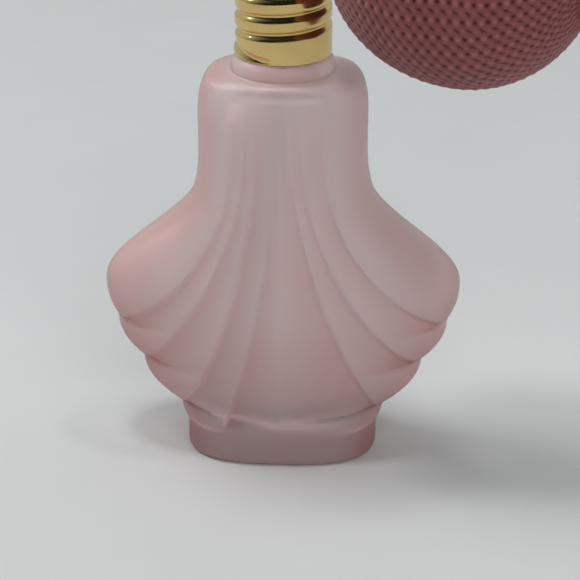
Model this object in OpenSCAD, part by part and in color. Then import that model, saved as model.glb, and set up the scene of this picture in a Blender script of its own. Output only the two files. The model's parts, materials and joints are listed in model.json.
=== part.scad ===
// Perfume atomiser: a pleated glass bottle, a rolled-thread screw collar, a turned spray head
// and a knit-covered rubber squeeze bulb. Units are millimetres and +Z is up.
// The origin is the centre of the bottle's flat base. The bulb's own axis is level and lies at
// head_turn from +X, with the nozzle opposite it.

/* [Bottle] */
// Half the width of the bottle across its widest lobes
widest_half_w = 32.05; // [28:0.1:36]
// Height of the widest point of the top lobe
widest_z = 32; // [30:0.5:33]
// Half the width of the upright column
column_half_w = 15; // [14:0.1:16]
// Half the depth of the upright column
column_half_d = 11.7; // [11:0.1:13]
// Half the depth of the belly
belly_half_d = 14.4; // [13.8:0.1:16]
// Height where the top lobe leaves the column
kink_z = 49; // [46:0.5:50]
// Height of the flat top of the shoulder
shoulder_z = 71.6; // [71:0.1:72]
// Half the width of the plinth
plinth_half_w = 17.3; // [16:0.1:19]
// Half the depth of the plinth
plinth_half_d = 12.9; // [12:0.1:14]
// Height of the plinth
plinth_h = 6.2; // [5:0.1:7]
// Deepest relief of the pleats
pleat_relief = 1.0; // [0.3:0.1:1.2]
// Thickness of the glass at the belly
glass_wall = 3.4; // [2.5:0.1:4]
// Thickness of the glass floor
glass_floor = 6.5; // [5:0.1:8]

/* [Neck and collar] */
// Radius of the bottle's neck below the thread
neck_r = 7.3; // [7.2:0.05:7.35]
// Radius of the neck's bore
bore_r = 4.6; // [4.5:0.05:4.7]
// Height of the neck's rim
neck_top_z = 85.8; // [85.3:0.1:85.8]
// Pitch of the thread
thread_pitch = 3.3; // [3.2:0.05:3.4]
// Outer radius of the rolled collar
collar_r = 8.5; // [8.4:0.05:8.7]
// Thickness of the collar's metal
collar_wall = 0.35; // [0.3:0.05:0.4]
// Depth of the rolled grooves
groove_depth = 0.5; // [0.4:0.05:0.55]
// Height of the collar's lower rim
collar_z = 74.8; // [74.6:0.1:75]
// Height of the collar's flat top
collar_top_z = 88.8; // [88.7:0.05:88.9]

/* [Head and bulb] */
// Angle of the bulb's axis from +X, seen from above
head_turn = -22; // [-180:1:180]
// Height of the nozzle and bulb axis
axis_z = 95.4; // [95.2:0.1:95.8]
// Radius of the turned barrel of the head
barrel_r = 7.6; // [7:0.1:7.8]
// Outer radius of the knitted bulb
bulb_r = 21.6; // [20:0.1:22]
// Distance from the bottle's axis to the bulb's centre
bulb_reach = 34.4; // [34.2:0.1:36]
// Length of the bulb's half on the head's side, which is a little drawn out
bulb_near_len = 24.9; // [23:0.1:25]
// Thickness of the rubber of the bulb
rubber_wall = 1.5; // [1.2:0.1:2]
// Thickness of the knitted cover
knit_wall = 0.7; // [0.5:0.1:0.8]

/* [Hidden] */

round_fn = 96;
gap = 0.05;

// Bottle: where each lobe ends, from the top lobe down, as [height, half width]
LOBE_ENDS = [[25.2, 30], [17.7, 25.5], [9.2, 18.6], [plinth_h, plinth_half_w + 0.3]];
lobe_power = 2.4;
flare_slope = 0.5;
kink_half_w = column_half_w + 1.15;
waist_z = 57;
shoulder_start_z = 64.4;
shoulder_power_w = 2.35;
shoulder_power_d = 2.85;
shoulder_top_half_w = 11.75;
shoulder_top_half_d = 10.3;
bead_r = 9.25;
bead_h = 3.9;
base_round = 1.2;
foot_blend_h = 3.2;
ring_points = 72;
cavity_points = 36;

// Pleat edges, each [x at the top, x at the lobe's end, height of its lower end, power]
LEFT_EDGES = [[9.2, 30, 25.2, 3.1], [6.8, 25.5, 17.7, 2.4], [5.4, 18.6, 9.2, 2.5], [1, 10.6, 6.8, 2.1]];
RIGHT_EDGES = [[7.9, 30, 25.2, 2.9], [3.9, 25.5, 17.7, 2.4], [1.6, 18.6, 9.2, 1.9]];
pleat_top_z = 65.5;
pleat_fade_h = 9;
step_w = 1.3;

// Heights of the bottle's rings, closer together where a lobe ends
RING_Z = [
    0, 0.35, base_round, 3.6, plinth_h, 7.2, 8.6, 9.2, 9.7, 11.4, 13.6, 16, 17.7, 18.2, 20.4, 22.8,
    24.4, 25.2, 25.8, 28.6, 32, 34.5, 37, 40, 43, 46, kink_z, 51.5, 55, 59, 63, 66, 68.4, 70, 71, shoulder_z
];
CAVITY_Z = [0, 0.02, 0.06, 0.12, 0.2, 0.3, 0.42, 0.54, 0.66, 0.78, 0.88, 0.95, 1];
cavity_top_z = 70;
cavity_taper = 14.8;

// Thread: the groove's centre line passes the rim of the collar at groove_start_z on +X
groove_start_z = collar_z + 6.2;
groove_power = 6;
groove_end_turn = -0.75;
collar_points = 40;
collar_rows = 26;
collar_lip_r = 5.5;
collar_lip_h = 0.4;
glass_thread_h = 0.55;
glass_thread_w = 1.1;
glass_thread_turns = 2.1;

// Stack above the glass rim
washer_h = 0.9;
flange_h = 1.5;
flange_r = 6.9;
washer_top_z = neck_top_z + washer_h;
flange_top_z = washer_top_z + flange_h;
spindle_r = 5.2;
barrel_z = collar_top_z + 0.4;
barrel_top_z = 99.8;
barrel_bore_r = 4.6;
dome_h = 4.2;
spigot_r = bore_r - 0.12;
spigot_z = 80.3;
tube_r = 1.5;
tube_bore_r = 0.95;
tube_foot_z = 10.5;
tube_top_z = 85.2;
tube_bow = 11.5;
tube_bow_power = 1.8;
tube_rings = 16;
tube_sides = 16;
vent_r = 0.6;
vent_x = 3;
jet_r = 0.85;
jet_bore_r = 0.4;
jet_block_r = 1.6;
jet_block_h = 2.8;
jet_tip_x = 14.6;
passage_r = 2.6;

// Bulb axis stations, measured from the bottle's axis along the bulb's own axis
boss_x = 8;
boss_r = 3.7;
nozzle_boss_x = -9;
stem_r = 2.2;
stem_bore_r = 1.3;
seal_w = 0.5;
ferrule_x = boss_x + seal_w;
ferrule_wall = 0.5;
bulb_neck_x = ferrule_x + ferrule_wall + 0.1;
bulb_neck_r = 4;
cup_r = 6.1;
cup_inner_r = 5.4;
rubber_r = bulb_r - knit_wall - 0.1;
near_pole_x = bulb_reach - bulb_near_len;
far_pole_x = bulb_reach + bulb_r;
far_neck_x = far_pole_x + 2.2;
chamber_x = near_pole_x + 3.6;
chamber_len = 5.4;
chamber_r = 3.1;
seat_hole_r = 0.8;
ball_r = 1.45;
disc_r = 2.4;
disc_w = 0.58;
disc_travel = 0.8;
intake_bore_r = 2.5;
intake_hole_r = 1.2;
intake_len = 5;
intake_face_w = 0.6;
cap_x = far_neck_x + intake_face_w;
cap_r = cup_r + 0.5;
cap_dome_h = 2.2;
air_hole_r = 0.45;
air_hole_ring_r = 2.2;
air_holes = 6;
thread_w = 0.4;
thread_dip = 0.2;

function clamp01(t) = min(1, max(0, t));
function smooth01(t) = let (c = clamp01(t)) c * c * (3 - 2 * c);

// A convex run of the outline from [z_top, w_top] down to [z_end, w_end]
function lobe_w(z, top, end) =
    end[1] + (top[1] - end[1]) * (1 - pow(clamp01((top[0] - z) / (top[0] - end[0])), lobe_power));

// The flare of the top lobe, which leaves the column at a kink and ends upright at its widest
function flare_w(z) =
    let (w = (kink_z - z) / (kink_z - widest_z))
    kink_half_w + (widest_half_w - kink_half_w)
        * (flare_slope * (w * w * w - 2 * w * w + w) + 3 * w * w - 2 * w * w * w);

// A half size that rounds over the shoulder, from low at its start to high at its flat top
function round_over(z, low, high, power) =
    let (t = clamp01((z - shoulder_start_z) / (shoulder_z - shoulder_start_z)))
    high + (low - high) * pow(1 - pow(t, power), 1 / power);

// How far the rounded bottom edge lies inside the plinth
function base_inset(z) = z >= base_round ? 0 : base_round - sqrt(pow(base_round, 2) - pow(base_round - z, 2));

function half_width(z) =
    z > shoulder_start_z ? round_over(z, column_half_w, shoulder_top_half_w, shoulder_power_w)
    : z > waist_z ? column_half_w
    : z > kink_z ? column_half_w + (kink_half_w - column_half_w) * pow((waist_z - z) / (waist_z - kink_z), 2)
    : z > widest_z ? flare_w(z)
    : z > LOBE_ENDS[0][0] ? lobe_w(z, [widest_z, widest_half_w], LOBE_ENDS[0])
    : z > LOBE_ENDS[1][0] ? lobe_w(z, LOBE_ENDS[0], LOBE_ENDS[1])
    : z > LOBE_ENDS[2][0] ? lobe_w(z, LOBE_ENDS[1], LOBE_ENDS[2])
    : z > LOBE_ENDS[3][0] ? lobe_w(z, LOBE_ENDS[2], LOBE_ENDS[3])
    : plinth_half_w - base_inset(z);

function half_depth(z) =
    z > shoulder_start_z ? round_over(z, column_half_d, shoulder_top_half_d, shoulder_power_d)
    : z > 24 ? belly_half_d + (column_half_d - belly_half_d) * smooth01((z - 24) / 36)
    : z > plinth_h ? plinth_half_d + (belly_half_d - plinth_half_d)
        * (0.55 * smooth01((z - plinth_h) / foot_blend_h) + 0.45 * smooth01((z - plinth_h) / 17))
    : plinth_half_d - base_inset(z);

// The section is squarer in the column and the plinth than in the belly
function section_power(z) = 2.15 + 0.55 * smooth01((z - 40) / 14) + 0.65 * smooth01((10 - z) / 4);

function edge_x(e, z) =
    z >= pleat_top_z ? e[0]
    : z <= e[2] ? e[1]
    : e[0] + (e[1] - e[0]) * pow((pleat_top_z - z) / (pleat_top_z - e[2]), e[3]);

// A step just inside a pleat's edge, then a long rise to the next edge inside it
function pleat(d, width) = d < 0 ? 0 : smooth01(d / min(step_w, width / 2)) * clamp01((width - d) / width);

// How far each pleat's surface lies below the proud edges, at distance x out from the centre line
function pleat_sum(edges, i, x, z, inner_limit) =
    i >= len(edges) ? 0
    : let (outer = edge_x(edges[i], z), inner = i + 1 < len(edges) ? edge_x(edges[i + 1], z) : inner_limit)
      (z > edges[i][2] && x < outer && x >= inner ? pleat(outer - x, outer - inner) : 0)
      + pleat_sum(edges, i + 1, x, z, inner_limit);

function relief(x, z) =
    pleat_relief * smooth01((pleat_top_z + 3 - z) / pleat_fade_h) * smooth01((z - plinth_h) / 4)
    * (0.55 + 0.45 * smooth01((62 - z) / 20))
    * (x < 0 ? pleat_sum(LEFT_EDGES, 0, -x, z, 0) : pleat_sum(RIGHT_EDGES, 0, x, z, 0));

// One point of the outer section; the back repeats the front turned half a turn about Z
function outer_point(a, z) =
    let (
        n = section_power(z),
        c = cos(a),
        s = sin(a),
        x = half_width(z) * sign(c) * pow(abs(c), 2 / n),
        y = half_depth(z) * sign(s) * pow(abs(s), 2 / n),
        cut = relief(y < 0 ? x : -x, z) * smooth01((1 - abs(x) / half_width(z)) / 0.12)
    )
    [x, y - sign(y) * cut, z];

// The hollow is a smooth form inside the glass that closes to the bore under the neck
function cavity_env(z) =
    z > widest_z ? half_width(z) : widest_half_w - cavity_taper * pow((widest_z - z) / 26, 1.7);
function cavity_point(a, t) =
    let (
        z = glass_floor + (cavity_top_z - glass_floor) * t,
        ends = pow(clamp01(1 - pow(abs(2 * t - 1), 9)), 0.5),
        n = 2.3,
        w = 0.6 + (cavity_env(min(z, shoulder_start_z)) - glass_wall - 1) * ends,
        d = 0.6 + (half_depth(min(z, shoulder_start_z)) - glass_wall) * ends
    )
    [w * sign(cos(a)) * pow(abs(cos(a)), 2 / n), d * sign(sin(a)) * pow(abs(sin(a)), 2 / n), z];

// A closed skin over rings of points, with a flat cap on the first and last ring
module lofted(rings) {
    n = len(rings[0]);
    last = len(rings) - 1;
    points = [for (ring = rings) each ring];
    sides = [
        for (k = [0:last - 1]) for (i = [0:n - 1])
            let (j = (i + 1) % n, a = k * n + i, b = k * n + j, c = a + n, d = b + n)
            each [[a, c, b], [b, c, d]]
    ];
    caps = [[for (i = [0:n - 1]) i], [for (i = [n - 1:-1:0]) last * n + i]];
    polyhedron(points = points, faces = concat(sides, caps), convexity = 6);
}

// A closed ring: one profile of points for each angle, joined round
module ring_lofted(profiles) {
    n = len(profiles[0]);
    m = len(profiles);
    points = [for (p = profiles) each p];
    sides = [
        for (k = [0:m - 1]) for (i = [0:n - 1])
            let (
                j = (i + 1) % n,
                k2 = (k + 1) % m,
                a = k * n + i,
                b = k * n + j,
                c = k2 * n + i,
                d = k2 * n + j
            )
            each [[a, c, b], [b, c, d]]
    ];
    polyhedron(points = points, faces = sides, convexity = 6);
}

// A tube round a centre line of level rings, open at both ends
module ring_lofted_tube(line, outer, inner, sides) {
    last = len(line) - 1;
    order = concat([for (i = [0:last]) [i, outer]], [for (i = [last:-1:0]) [i, inner]]);
    ring_lofted([
        for (k = [0:sides - 1])
            let (a = 360 * k / sides)
            [for (q = order) line[q[0]] + [q[1] * cos(a), q[1] * sin(a), 0]]
    ]);
}

// A helical ridge that fades into the wall at both ends; start_a is its first angle
module thread_ridge(root_r, height, foot_w, crest_w, pitch, turns, start_z, start_a, steps) {
    n = ceil(turns * steps);
    rings = [
        for (i = [0:n])
            let (
                a = start_a + 360 * turns * i / n,
                z = start_z + pitch * turns * i / n,
                fade = smooth01(i / (steps / 8)) * smooth01((n - i) / (steps / 8)),
                r = root_r - 0.15 + (height + 0.15) * fade,
                inner = root_r - 0.4
            )
            [for (p = [[inner, foot_w / 2], [r, crest_w / 2], [r, -crest_w / 2], [inner, -foot_w / 2]])
                [p[0] * cos(a), p[0] * sin(a), z + p[1]]]
    ];
    lofted(rings);
}

module turned(profile) {
    rotate_extrude($fn = round_fn) polygon(profile);
}

// A turned piece on the bulb's axis: the profile is [radius, station along the axis]
module turned_on_axis(profile) {
    rotate([0, 0, head_turn]) translate([0, 0, axis_z]) rotate([0, 90, 0]) turned(profile);
}

module washer_on_axis(inner, outer, x0, x1) {
    turned_on_axis([[inner, x0], [outer, x0], [outer, x1], [inner, x1]]);
}

module bore(z0, z1) {
    translate([0, 0, z0]) cylinder(r = bore_r, h = z1 - z0, $fn = round_fn);
}

// The blown part of the bottle, from its base to the top of the shoulder
module glass_bottle() color([0.87, 0.71, 0.72, 0.8]) {
    difference() {
        lofted([
            for (z = RING_Z)
                [for (i = [0:ring_points - 1]) outer_point(360 * i / ring_points, z)]
        ]);
        lofted([
            for (t = CAVITY_Z)
                [for (i = [0:cavity_points - 1]) cavity_point(360 * i / cavity_points, t)]
        ]);
        bore(cavity_top_z - 2, shoulder_z + 1);
    }
}

// The neck of the same piece of glass, which rises from the shoulder: a bead, a tube and a thread
module glass_neck() color([0.87, 0.71, 0.72, 0.8]) {
    difference() {
        union() {
            turned([
                [0, shoulder_z], [bead_r, shoulder_z], [bead_r, shoulder_z + 1],
                [bead_r - 0.5, shoulder_z + 2.6], [collar_r - 0.5, shoulder_z + 3.2],
                [neck_r, shoulder_z + bead_h], [neck_r, neck_top_z - 0.4],
                [neck_r - 0.4, neck_top_z], [0, neck_top_z]
            ]);
            thread_ridge(neck_r, glass_thread_h, glass_thread_w + 1, glass_thread_w, thread_pitch,
                glass_thread_turns, groove_start_z - thread_pitch * 0.75, -90, 32);
        }
        bore(shoulder_z - 1, neck_top_z + 1);
    }
}

// The rolled groove: its depth at an angle and a height, fading out before its lowest turn ends
function groove(a, z) =
    let (
        turn = (z - groove_start_z) / thread_pitch - a / 360,
        nearest = round(turn),
        along = nearest + a / 360,
        off = turn - nearest,
        fade = smooth01((along - groove_end_turn) * 4) * smooth01((collar_top_z - 1.2 - z) / 1.2)
    )
    groove_depth * pow(cos(180 * off), groove_power) * fade;

module screw_collar() color([0.83, 0.69, 0.32]) {
    skirt_h = collar_top_z - collar_z - collar_lip_h;
    ring_lofted([
        for (k = [0:collar_points - 1])
            let (
                a = 360 * k / collar_points,
                rows = [for (i = [0:collar_rows]) collar_z + skirt_h * i / collar_rows],
                outside = [for (z = rows) [collar_r - groove(a, z), z]],
                lip = [
                    [collar_r - 0.4, collar_top_z], [collar_lip_r, collar_top_z],
                    [collar_lip_r, collar_top_z - collar_lip_h]
                ],
                inside = [for (i = [collar_rows:-1:0]) [outside[i][0] - collar_wall, outside[i][1]]]
            )
            [for (q = concat(outside, lip, inside)) [q[0] * cos(a), q[0] * sin(a), q[1]]]
    ]);
}

module neck_washer() color([0.16, 0.16, 0.17]) {
    washer_r = neck_r - 0.5;
    turned([[bore_r, neck_top_z], [washer_r, neck_top_z], [washer_r, washer_top_z], [bore_r, washer_top_z]]);
}

module stem_plug() color([0.93, 0.92, 0.89]) {
    difference() {
        turned([
            [0, spigot_z], [spigot_r - 0.6, spigot_z], [spigot_r, spigot_z + 1], [spigot_r, washer_top_z],
            [flange_r, washer_top_z], [flange_r, flange_top_z], [0, flange_top_z]
        ]);
        translate([0, 0, spigot_z - 1]) cylinder(r = tube_r, h = tube_top_z - spigot_z + 1, $fn = round_fn);
        translate([0, 0, spigot_z]) cylinder(r = jet_r + gap, h = flange_top_z, $fn = round_fn);
        for (side = [-1, 1])
            translate([vent_x * side, 0, spigot_z - 1])
                cylinder(r = vent_r, h = flange_top_z, $fn = round_fn);
    }
}

// The tube leaves the plug upright and bows towards one end of the hollow
module dip_tube() color([0.9, 0.9, 0.88, 0.7]) {
    ring_lofted_tube([
        for (i = [0:tube_rings])
            let (z = tube_foot_z + (tube_top_z - tube_foot_z) * i / tube_rings)
            [-tube_bow * pow(clamp01((spigot_z - z) / (spigot_z - tube_foot_z)), tube_bow_power), 0, z]
    ], tube_r, tube_bore_r, tube_sides);
}

module head_body() color([0.84, 0.7, 0.33]) {
    difference() {
        union() {
            turned([
                [0, flange_top_z + gap], [spindle_r, flange_top_z + gap], [spindle_r, barrel_z],
                [barrel_r + 0.5, barrel_z], [barrel_r + 0.5, barrel_z + 0.8], [barrel_r, barrel_z + 1.2],
                [barrel_r, barrel_top_z - 0.5], [barrel_r - 0.4, barrel_top_z], [0, barrel_top_z]
            ]);
            turned_on_axis([
                [0, 0], [boss_r, 0], [boss_r, boss_x - 0.3], [boss_r - 0.3, boss_x], [0, boss_x]
            ]);
            turned_on_axis([
                [0, nozzle_boss_x], [boss_r - 0.5, nozzle_boss_x], [boss_r - 0.2, nozzle_boss_x + 0.3],
                [boss_r - 0.2, 0], [0, 0]
            ]);
        }
        translate([0, 0, barrel_z + 1]) cylinder(r = barrel_bore_r, h = 20, $fn = round_fn);
        translate([0, 0, flange_top_z - 1]) cylinder(r = passage_r, h = 10, $fn = round_fn);
        turned_on_axis([[0, 0], [stem_r, 0], [stem_r, boss_x + 1], [0, boss_x + 1]]);
        turned_on_axis([[0, nozzle_boss_x - 1], [stem_r, nozzle_boss_x - 1], [stem_r, 0], [0, 0]]);
    }
}

module head_dome() color([0.86, 0.72, 0.35]) {
    turned(concat(
        [[0, barrel_top_z - 1.8], [barrel_bore_r, barrel_top_z - 1.8], [barrel_bore_r, barrel_top_z],
         [barrel_r - 0.2, barrel_top_z], [barrel_r, barrel_top_z + 0.3]],
        [
            for (i = [1:12])
                let (a = 90 * i / 12)
                [barrel_r * cos(a), barrel_top_z + 0.3 + (dome_h - 0.3) * sin(a)]
        ]
    ));
}

// A fine tube up from the dip tube, an elbow block, and a fine tube out to the nozzle's tip
module liquid_jet() color([0.75, 0.76, 0.78]) {
    rise = axis_z - tube_top_z;
    difference() {
        union() {
            translate([0, 0, tube_top_z]) cylinder(r = jet_r, h = rise, $fn = round_fn);
            translate([0, 0, axis_z - jet_block_h / 2])
                cylinder(r = jet_block_r, h = jet_block_h, $fn = round_fn);
            washer_on_axis(0, jet_r - 0.05, -jet_tip_x, -0.2);
        }
        translate([0, 0, tube_top_z - 1]) cylinder(r = jet_bore_r, h = rise + 1, $fn = round_fn);
        washer_on_axis(0, jet_bore_r - 0.08, -jet_tip_x - 1, 0);
    }
}

module nozzle_sleeve() color([0.84, 0.7, 0.33]) {
    turned_on_axis([
        [1.25, -15], [1.9, -15], [1.9, -13.6], [2.5, -13.3], [3, nozzle_boss_x - 0.8], [3, nozzle_boss_x],
        [stem_r, nozzle_boss_x], [stem_r, -5.2], [1.25, -5.2]
    ]);
}

module orifice_cap() color([0.87, 0.74, 0.38]) {
    turned_on_axis([
        [0.25, -16], [0.9, -16.2], [2.2, -16.2], [2.6, -15.9], [2.6, -13.7], [1.95, -13.7],
        [1.95, -15.05], [0.25, -15.05]
    ]);
}

module air_stem() color([0.84, 0.7, 0.33]) {
    turned_on_axis([
        [stem_bore_r, 5.2], [stem_r, 5.2], [stem_r, chamber_x - 0.6], [chamber_r, chamber_x],
        [chamber_r, chamber_x + chamber_len], [ball_r + gap, chamber_x + chamber_len],
        [ball_r + gap, chamber_x + 0.9], [stem_bore_r, chamber_x + 0.5]
    ]);
}

module stem_seal() color([0.16, 0.16, 0.17]) {
    washer_on_axis(stem_r, boss_r - 0.3, boss_x, ferrule_x);
}

// The seat closes the bulb end of the stem's chamber
module outlet_seat() color([0.8, 0.8, 0.82]) {
    x0 = chamber_x + chamber_len;
    turned_on_axis([
        [seat_hole_r, x0 - 1], [ball_r + gap, x0 - 1], [ball_r + gap, x0], [chamber_r, x0],
        [chamber_r, x0 + 0.7], [seat_hole_r, x0 + 0.7]
    ]);
}

module outlet_ball() color([0.75, 0.76, 0.78]) {
    seat_gap = sqrt(pow(ball_r, 2) - pow(seat_hole_r, 2));
    rotate([0, 0, head_turn]) translate([chamber_x + chamber_len - 1 - seat_gap - 0.03, 0, axis_z])
        sphere(r = ball_r - gap, $fn = round_fn);
}

module bulb_ferrule() color([0.84, 0.7, 0.33]) {
    turned_on_axis([
        [stem_r, ferrule_x], [cup_inner_r - 0.6, ferrule_x], [cup_inner_r + 0.2, ferrule_x + 0.3],
        [cup_inner_r + 0.4, ferrule_x + 0.9], [cup_r + 0.9, near_pole_x + 0.7],
        [cup_r + 1.1, near_pole_x + 0.95], [cup_r + 0.9, near_pole_x + 1.05],
        [cup_inner_r, near_pole_x + 0.5],
        [cup_inner_r, ferrule_x + ferrule_wall], [stem_r, ferrule_x + ferrule_wall]
    ]);
}

// The bulb's side view: a half circle at the far side and a half oval, near_len long, at the head's side
function egg(r, near_len, near_r, far_r, n) = [
    for (i = [0:n])
        let (a = asin(near_r / r) + (180 - asin(far_r / r) - asin(near_r / r)) * i / n)
        [r * sin(a), bulb_reach - (a < 90 ? near_len : r) * cos(a)]
];

// A hollow egg with a short tube at each pole: the profile runs out along the skin and back inside
module hollow_bulb(outer_r, wall, near_x, far_x, near_r, far_r, near_hole, far_hole) {
    near_len = bulb_near_len - (bulb_r - outer_r);
    skin = egg(outer_r, near_len, near_r, far_r, 40);
    lining = egg(outer_r - wall, near_len - wall, near_hole, far_hole, 40);
    turned_on_axis(concat(
        [[near_hole, near_x], [near_r, near_x]],
        skin,
        [[far_r, far_x], [far_hole, far_x]],
        [for (i = [40:-1:0]) lining[i]]
    ));
}

module rubber_bulb() color([0.5, 0.22, 0.24]) {
    hollow_bulb(rubber_r, rubber_wall, bulb_neck_x, far_neck_x, bulb_neck_r, bulb_neck_r + 0.6,
        stem_r + gap, 3.2);
}

module knitted_cover() color([0.72, 0.42, 0.46]) {
    near_hole = bulb_neck_r + gap;
    far_hole = near_hole + 0.6;
    hollow_bulb(bulb_r, knit_wall, bulb_neck_x + 0.05, far_neck_x - 0.3, near_hole + knit_wall,
        far_hole + knit_wall, near_hole, far_hole);
}

// Two turns of thread side by side, with a dip between them
module binding(x, r) {
    low = r + thread_dip;
    high = r + thread_w;
    turned_on_axis([
        [r, x], [low, x], [high, x + 0.1], [high, x + 0.3], [low, x + 0.4],
        [high, x + 0.5], [high, x + 0.7], [low, x + 0.8], [r, x + 0.8]
    ]);
}

module neck_binding() color([0.62, 0.34, 0.38]) {
    binding(bulb_neck_x + 0.1, bulb_neck_r + knit_wall + gap);
}

module end_binding() color([0.62, 0.34, 0.38]) {
    binding(far_neck_x - 1.5, bulb_neck_r + knit_wall + gap + 0.6);
}

module intake_body() color([0.84, 0.7, 0.33]) {
    inner = far_neck_x - intake_len;
    face = cap_x - 0.8;
    turned_on_axis([
        [intake_bore_r, inner], [3.15, inner], [3.15, far_neck_x], [cup_r, far_neck_x], [cup_r, cap_x],
        [intake_hole_r, cap_x], [intake_hole_r, face], [intake_bore_r, face]
    ]);
}

module intake_disc() color([0.2, 0.2, 0.21]) {
    washer_on_axis(0, disc_r, far_neck_x - 0.8, far_neck_x - 0.8 + disc_w);
}

module intake_retainer() color([0.8, 0.8, 0.82]) {
    stop = far_neck_x - 0.8 - disc_travel - 0.05;
    washer_on_axis(1.5, intake_bore_r, stop - 0.8, stop);
}

module end_cap() color([0.86, 0.72, 0.35]) {
    difference() {
        turned_on_axis(concat(
            [[cup_r - 0.4, far_pole_x - 0.2], [cap_r, far_pole_x - 0.3], [cap_r, cap_x + 0.3]],
            [for (i = [1:8]) let (a = 90 * i / 8) [cap_r * cos(a), cap_x + 0.3 + cap_dome_h * sin(a)]],
            [
                [0, cap_x + 1.6], [3.4, cap_x + 1.2], [3.4, cap_x], [cup_r, cap_x], [cup_r, far_neck_x],
                [cup_r - 0.05, far_pole_x + 0.4]
            ]
        ));
        for (k = [0:air_holes - 1])
            rotate([0, 0, head_turn]) translate([cap_x + 1, 0, axis_z])
                rotate([360 * k / air_holes, 0, 0]) translate([0, 0, air_hole_ring_r])
                    rotate([0, 90, 0]) cylinder(r = air_hole_r, h = 4, $fn = 24);
    }
}

glass_bottle();
glass_neck();
screw_collar();
neck_washer();
stem_plug();
dip_tube();
head_body();
head_dome();
liquid_jet();
nozzle_sleeve();
orifice_cap();
air_stem();
stem_seal();
outlet_seat();
outlet_ball();
bulb_ferrule();
rubber_bulb();
knitted_cover();
neck_binding();
end_binding();
intake_body();
intake_disc();
intake_retainer();
end_cap();
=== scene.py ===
"""Looks of a perfume atomiser: a frosted, pleated glass bottle with a rolled gold screw collar,
a turned spray head and a rubber squeeze bulb under a knitted net.

Points are placed in metres in the frame's own axes. Sizes come from the frame's nodes and joints
and from the driving dimensions that each class holds, which are in millimetres where it says so.
"""

import json
import logging
import math
from dataclasses import dataclass
from enum import Enum
from typing import Any, Callable, Iterable, Sequence

import bmesh
import bpy
import numpy as np
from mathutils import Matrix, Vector


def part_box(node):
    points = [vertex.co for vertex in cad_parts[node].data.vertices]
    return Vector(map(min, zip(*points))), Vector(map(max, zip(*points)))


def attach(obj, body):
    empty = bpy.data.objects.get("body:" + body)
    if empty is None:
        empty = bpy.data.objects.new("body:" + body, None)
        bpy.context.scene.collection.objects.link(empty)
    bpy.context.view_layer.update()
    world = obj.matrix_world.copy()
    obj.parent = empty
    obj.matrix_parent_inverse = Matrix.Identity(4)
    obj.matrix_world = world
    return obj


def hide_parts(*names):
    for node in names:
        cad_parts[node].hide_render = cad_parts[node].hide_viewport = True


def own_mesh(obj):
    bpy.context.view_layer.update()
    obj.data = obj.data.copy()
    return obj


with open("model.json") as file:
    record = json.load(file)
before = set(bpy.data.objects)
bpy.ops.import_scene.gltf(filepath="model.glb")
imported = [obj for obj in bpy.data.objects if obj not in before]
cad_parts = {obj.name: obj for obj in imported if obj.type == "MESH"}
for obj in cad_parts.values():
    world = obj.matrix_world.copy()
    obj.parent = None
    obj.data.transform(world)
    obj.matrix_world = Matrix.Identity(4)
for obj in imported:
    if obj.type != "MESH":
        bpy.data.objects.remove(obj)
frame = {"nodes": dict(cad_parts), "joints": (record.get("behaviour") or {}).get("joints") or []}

LOG = logging.getLogger("perfume_atomiser")
MM = 0.001
Colour = tuple[float, float, float]
Triple = tuple[float, float, float]
Profile = Sequence[tuple[float, float]]


# --- Shader maths ---


class Signal:
    """A number that a socket carries, with Python's operators as Math nodes."""

    def __init__(self, shader: "Shader", socket: bpy.types.NodeSocket) -> None:
        """Wraps a socket.

        Args:
            shader: The material builder that the socket's node is in.
            socket: The output socket.
        """
        self.shader = shader
        self.socket = socket

    def _maths(self, operation: str, first: Any, second: Any) -> "Signal":
        """Returns a Math node's output for two numbers or signals."""
        return self.shader.node("ShaderNodeMath", {"operation": operation}, {0: first, 1: second})

    def __add__(self, other: Any) -> "Signal":
        """Returns self + other."""
        return self._maths("ADD", self, other)

    def __radd__(self, other: Any) -> "Signal":
        """Returns other + self."""
        return self._maths("ADD", other, self)

    def __sub__(self, other: Any) -> "Signal":
        """Returns self - other."""
        return self._maths("SUBTRACT", self, other)

    def __rsub__(self, other: Any) -> "Signal":
        """Returns other - self."""
        return self._maths("SUBTRACT", other, self)

    def __mul__(self, other: Any) -> "Signal":
        """Returns self * other."""
        return self._maths("MULTIPLY", self, other)

    def __rmul__(self, other: Any) -> "Signal":
        """Returns other * self."""
        return self._maths("MULTIPLY", other, self)


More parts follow.
